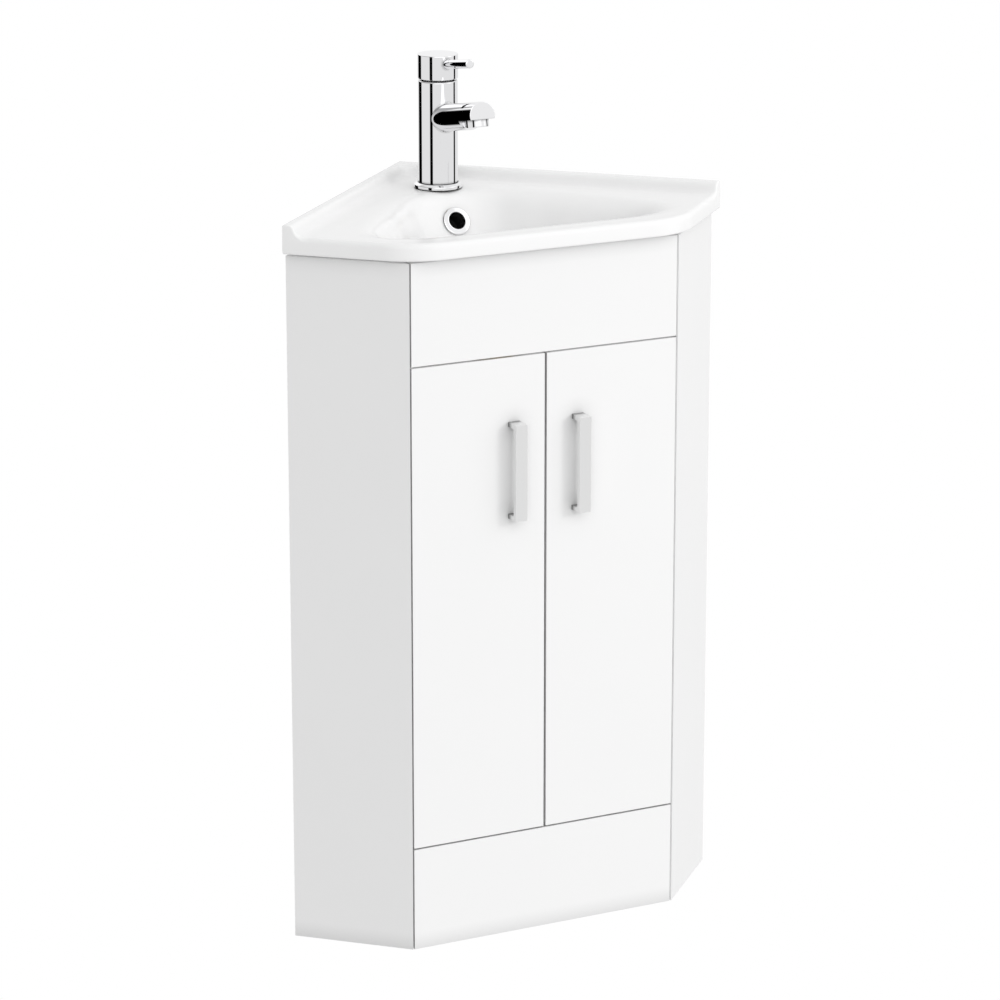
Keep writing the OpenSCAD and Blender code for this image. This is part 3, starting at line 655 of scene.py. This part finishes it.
spv, spf = spout()
spout_o = add("spout_tube", spv, spf, "chrome", "cabinet", angle=28)
SP_OUT = SP_O + SP_AX * (SP_L - 15.4) - SP_UP * SP_FLAT
lathe("spray_insert", [(0, 2.2), (7.6, 2.2), (8.0, 2.8), (8.6, 6.4), (9.4, 7.0), (9.9, 8.3), (10.6, 8.8), (12.9, 8.8), (13.4, 8.6), (13.6, 8.1), (13.6, -0.2), (0, -0.2)],
      "chrome", "cabinet", origin=tuple(SP_OUT), axis=tuple(-SP_UP), segs=96, ring=False, replaces=("aerator",))
lathe("cap_shell", [(0, CAP_HI), (CAP_R - 1.0, CAP_HI), (CAP_R - 0.5, CAP_HI - 0.12), (CAP_R - 0.14, CAP_HI - 0.45), (CAP_R, CAP_HI - 0.95), (CAP_R, CAP_LO + 0.7), (CAP_R - 0.12, CAP_LO + 0.25), (CAP_R - 0.5, CAP_LO), (21.5, CAP_LO),
                    (21.2, CAP_LO + 0.3), (21.2, CAP_HI - 4), (0, CAP_HI - 4)], "chrome", "tap_lever", origin=T0, segs=160, ring=False, replaces=("tap_cap",))


# lever: a round rod with a small fillet where it leaves the cap
LV_R, LV_RISE = 5.3, math.radians(9.0)
LV_O = Vector((0, TAP_Y - CAP_R, DECK + 150.9))
LV_AX = Vector((0, -math.cos(LV_RISE), math.sin(LV_RISE)))
LV_UP = Vector((0, math.sin(LV_RISE), math.cos(LV_RISE)))


def lever():
    X = Vector((1, 0, 0))
    rho = 1.0
    ang = [2 * math.pi * i / 72 for i in range(72)]
    inner = [[], []]
    fillet = [[] for _ in range(6)]
    for a in ang:
        d = X * math.cos(a) + LV_UP * math.sin(a)
        lo_w, hi_w = -4.0, 12.0
        for _ in range(50):
            w = (lo_w + hi_w) / 2
            c = LV_O + LV_AX * w + d * (LV_R + rho)
            if math.hypot(c.x, c.y - TAP_Y) < CAP_R + rho:
                lo_w = w
            else:
                hi_w = w
        h = Vector((c.x, c.y - TAP_Y, 0)).normalized()
        u, v = -h, -d
        g = u.angle(v)
        for i in range(6):
            k = i / 5
            q = (u * math.sin((1 - k) * g) + v * math.sin(k * g)) / math.sin(g)
            fillet[i].append(tuple(c + q * rho))
        t = c - h * rho
        inner[0].append(tuple(t - h * 2.4))
        inner[1].append(tuple(t - h * 0.8))
    rows = inner + fillet

    def at(w, k):
        return [tuple(LV_O + LV_AX * w + X * (LV_R - k) * math.cos(a) + LV_UP * (LV_R - k) * math.sin(a)) for a in ang]

    rows.append([tuple(Vector(q) + LV_AX * 0.4) for q in fillet[-1]])
    for w, k in [(4.0, 0), (30, 0), (59.9, 0), (60.4, 0), (60.8, 0.1), (61.1, 0.35), (61.3, 0.8), (61.4, 1.3), (61.4, 2.0)]:
        rows.append(at(w, k))
    return loops(rows, caps=True)


lv, lf = lever()
add("lever_pin", lv, lf, "chrome", "tap_lever", angle=35, replaces=("tap_lever",))

# pale strip set into the gap on the right side panel's narrow edge: painted light, which makes the dark gap line read
# lighter; hollowed behind so that the door's corner swings clear of it
GAP_LIGHT_PROFILE = [(173.25, 1.0), (173.0, 0.62), (172.6, 0.45), (172.25, 0.6), (172.1, 0.95), (172.1, 1.9), (172.32, 2.6), (172.58, 3.9), (172.87, 5.6), (173.07, 7.4), (173.25, 8.4)]
ev, ef = loops([[(x, y, z) for x, y in GAP_LIGHT_PROFILE] for z in (0.6, 120, 300, 480, 660, 819.4)], caps=True)
strip = add("gap_light_strip", ev, ef, "white_lacquer", "cabinet", angle=30)
strip.data.materials[0] = M["lacquer_weak_painted_shade"]

# ---- rounded edges on the boards, fronts and handles ---------------------------
for n in ("side_panel_left", "side_panel_right", "door_left", "door_right", "fascia_panel", "plinth_panel"):
    soften(n, 0.4, 3)
for n in ("handle_left", "handle_right"):
    soften(n, 0.2, 2)

# ---- ground and light ---------------------------------------------------------
def emit(name, col, strength):
    mt = bpy.data.materials.new(name)
    mt.use_nodes = True
    nt = mt.node_tree
    nt.nodes.clear()
    e = nt.nodes.new("ShaderNodeEmission")
    e.inputs["Color"].default_value = (*col, 1)
    e.inputs["Strength"].default_value = strength
    out = nt.nodes.new("ShaderNodeOutputMaterial")
    nt.links.new(e.outputs[0], out.inputs[0])
    return mt


me = bpy.data.meshes.new("ground")
S = 60.0
me.from_pydata([(-S, -S, -0.0005), (S, -S, -0.0005), (S, S, -0.0005), (-S, S, -0.0005)], [], [(0, 1, 2, 3)])
ground = bpy.data.objects.new("ground", me)
bpy.context.scene.collection.objects.link(ground)
me.materials.append(emit("ground_white", (1, 1, 1), 1.0))
ground.visible_diffuse = False
ground.visible_glossy = False

w = bpy.data.worlds.new("studio")
bpy.context.scene.world = w
w.use_nodes = True
nt = w.node_tree
bg = nt.nodes["Background"]


def math_node(op, a=None, b=None, va=None, vb=None, clamp=False):
    n = nt.nodes.new("ShaderNodeMath")
    n.operation = op
    n.use_clamp = clamp
    for k, (src, val) in enumerate(((a, va), (b, vb))):
        if src is not None:
            nt.links.new(src, n.inputs[k])
        elif val is not None:
            n.inputs[k].default_value = val
    return n.outputs[0]


def map_node(src, a, b, c=0.0, d=1.0):
    n = nt.nodes.new("ShaderNodeMapRange")
    n.interpolation_type = "SMOOTHSTEP"
    for k, v in (("From Min", a), ("From Max", b), ("To Min", c), ("To Max", d)):
        n.inputs[k].default_value = v
    nt.links.new(src, n.inputs["Value"])
    return n.outputs["Result"]


def ring_of_light(stops):
    """Brightness round the horizon from [(degrees, level)]: 0 is in front, 90 to the right."""
    r = nt.nodes.new("ShaderNodeValToRGB")
    r.color_ramp.interpolation = "LINEAR"
    el = r.color_ramp.elements
    pts = [((a + 180) / 360, v) for a, v in stops]
    el[0].position, el[0].color = pts[0][0], (pts[0][1],) * 3 + (1,)
    el[1].position, el[1].color = pts[-1][0], (pts[-1][1],) * 3 + (1,)
    for q, v in pts[1:-1]:
        e = el.new(q)
        e.color = (v, v, v, 1)
    nt.links.new(turn, r.inputs["Fac"])
    return r.outputs["Color"]


tc = nt.nodes.new("ShaderNodeTexCoord")
sep = nt.nodes.new("ShaderNodeSeparateXYZ")
nt.links.new(tc.outputs["Generated"], sep.inputs[0])
angle = math_node("ARCTAN2", sep.outputs["X"], math_node("MULTIPLY", sep.outputs["Y"], vb=-1.0))
turn = math_node("ADD", math_node("DIVIDE", angle, vb=2 * math.pi), vb=0.5)
LOW = 0.84
z = sep.outputs["Z"]
low = ring_of_light([(-180, LOW), (180, LOW)])
high = ring_of_light([(-180, 0.76), (-160, 0.76), (-140, 0.28), (-60, 0.27), (-40, 1.08), (8, 1.08), (17, 0.66), (38, 0.66), (46, 1.08), (54, 1.08), (75, 0.62), (140, 0.62), (165, 0.76), (180, 0.76)])
high15 = math_node("MULTIPLY", high, vb=1.5)


def blend(fac, a, b):
    """a where fac is 0, b where it is 1"""
    return math_node("ADD", math_node("MULTIPLY", a, math_node("SUBTRACT", None, fac, va=1.0)), math_node("MULTIPLY", b, fac) if not isinstance(b, float) else math_node("MULTIPLY", fac, vb=b))


side = blend(map_node(z, -0.08, 0.36), low, high15)
full = blend(map_node(z, 0.60, 0.90), side, 0.85)
# dark screens beside and behind the object, seen only as bands in the polished metal
bands = ring_of_light([(-180, 1), (-173, 1), (-172, 0), (-136, 0), (-135, 1), (-74, 1), (-73, 0), (-57.5, 0), (-56.5, 1), (77, 1), (78, 0), (91.5, 0), (92.5, 1), (180, 1)])
inside = math_node("MULTIPLY", map_node(z, -0.60, -0.54), map_node(z, 0.24, 0.18))
full = math_node("MULTIPLY", full, blend(inside, math_node("ADD", None, None, va=1.0, vb=0.0), bands))
nt.links.new(full, bg.inputs["Strength"])
bg.inputs["Color"].default_value = (1, 1, 1, 1)

# a soft key light from the front right, which throws the handles' and the tap's shade to the left
ld = bpy.data.lights.new("key", "AREA")
ld.shape, ld.size, ld.energy = "DISK", 0.7, 12
key = bpy.data.objects.new("key", ld)
key.location = (1.43, -2.47, 1.53)
key.rotation_euler = (Vector((0, 0, 0.6)) - key.location).to_track_quat("-Z", "Y").to_euler()
key.visible_glossy = False
bpy.context.scene.collection.objects.link(key)

sc = bpy.context.scene
sc.view_settings.view_transform = "Standard"
sc.view_settings.look = "None"
sc.view_settings.exposure = 0
sc.view_settings.gamma = 1
